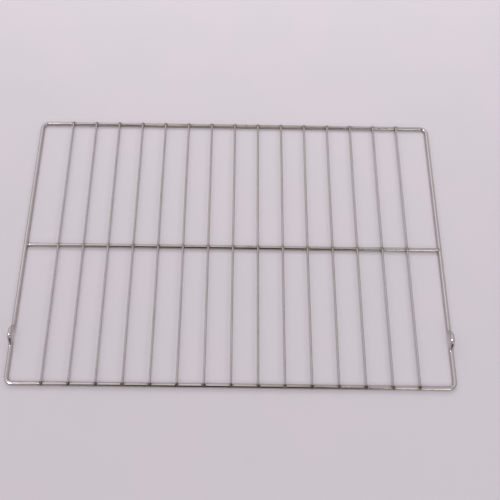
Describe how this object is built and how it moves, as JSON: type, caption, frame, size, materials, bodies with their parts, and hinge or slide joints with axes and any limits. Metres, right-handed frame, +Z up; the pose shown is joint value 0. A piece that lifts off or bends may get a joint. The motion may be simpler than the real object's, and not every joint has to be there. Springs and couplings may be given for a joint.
{
  "type": "cooling rack",
  "caption": "Flat welded wire cooling rack: bent rod frame with raised stop kinks, a cross rod, and thin support wires welded on top.",
  "frame": {"origin": "middle of the rack on the surface that it lies on", "axes": "+X along the rack's long side, -Y towards the long side that has the stop kinks near it, +Z up, with the wires on top of the rods"},
  "size_m": [0.6564, 0.4618, 0.0191],
  "materials": {
    "frame_steel": "dull bright plating over drawn steel rod, lightly tarnished",
    "wire_steel": "dull bright plating over drawn steel wire",
    "weld_metal": "plated weld metal, slightly heat tinted"
  },
  "bodies": {
    "root": {"frame_rod": "frame_steel", "cross_rod": "frame_steel", "cross_rod_welds": "weld_metal", "frame_seam_weld": "weld_metal", "back_wire_welds": "weld_metal", "middle_wire_welds": "weld_metal", "front_wire_welds": "weld_metal", "wire_01": "wire_steel", "wire_02": "wire_steel", "wire_03": "wire_steel", "wire_04": "wire_steel", "wire_05": "wire_steel", "wire_06": "wire_steel", "wire_07": "wire_steel", "wire_08": "wire_steel", "wire_09": "wire_steel", "wire_10": "wire_steel", "wire_11": "wire_steel", "wire_12": "wire_steel", "wire_13": "wire_steel", "wire_14": "wire_steel", "wire_15": "wire_steel"}
  },
  "joints": []
}
